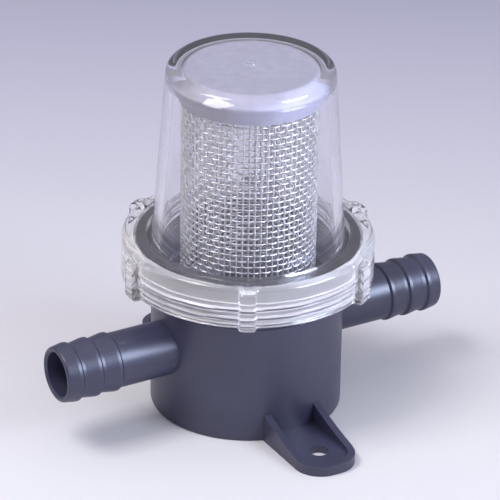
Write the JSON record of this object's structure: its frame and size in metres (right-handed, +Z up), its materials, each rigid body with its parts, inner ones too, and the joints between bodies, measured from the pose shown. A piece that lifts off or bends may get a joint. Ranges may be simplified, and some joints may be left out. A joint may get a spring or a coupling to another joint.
{
  "type": "sea water strainer",
  "caption": "In-line sea water strainer: dark plastic body with barbed hose ports and screw-down feet, a clear bowl held by a clear ribbed ring nut, and a steel mesh screen inside.",
  "frame": {"origin": "centre of the underside, on the floor plane", "axes": "+X along the pipe axis towards the outlet, +Y towards the back foot, +Z up along the bowl's axis"},
  "size_m": [0.1432, 0.1208, 0.1224],
  "materials": {
    "body_plastic": "moulded blue-grey plastic, satin",
    "gasket_rubber": "matt",
    "clear_bowl": "clear, polished",
    "clear_collar": "clear, polished",
    "steel_mesh": "woven stainless wire",
    "steel_band": "pressed stainless sheet"
  },
  "bodies": {
    "root": {"body": "body_plastic"},
    "screen": {"screen_mesh": "steel_mesh", "screen_cap": "steel_band", "screen_ring": "steel_band"},
    "gasket": {"gasket": "gasket_rubber"},
    "bowl": {"bowl": "clear_bowl"},
    "collar": {"collar": "clear_collar"}
  },
  "joints": [
    {"name": "screen_lift", "type": "slide", "parent": "root", "child": "screen", "axis": [0, 0, 1], "range_m": [0, 0.04]},
    {"name": "cover_lift", "type": "slide", "parent": "screen", "child": "gasket", "axis": [0, 0, 1], "range_m": [0, 0.075]},
    {"name": "bowl_rise", "type": "slide", "parent": "gasket", "child": "bowl", "axis": [0, 0, 1], "range_m": [0, 0.008]},
    {"name": "collar_turn", "type": "hinge", "parent": "bowl", "child": "collar", "pos_m": [0, 0, 0.0475], "axis": [0, 0, 1], "range_deg": [0, 900]}
  ],
  "couplings": [
    {"joint": "bowl_rise", "follows": "collar_turn", "m_per_rad": 0.000509}
  ]
}
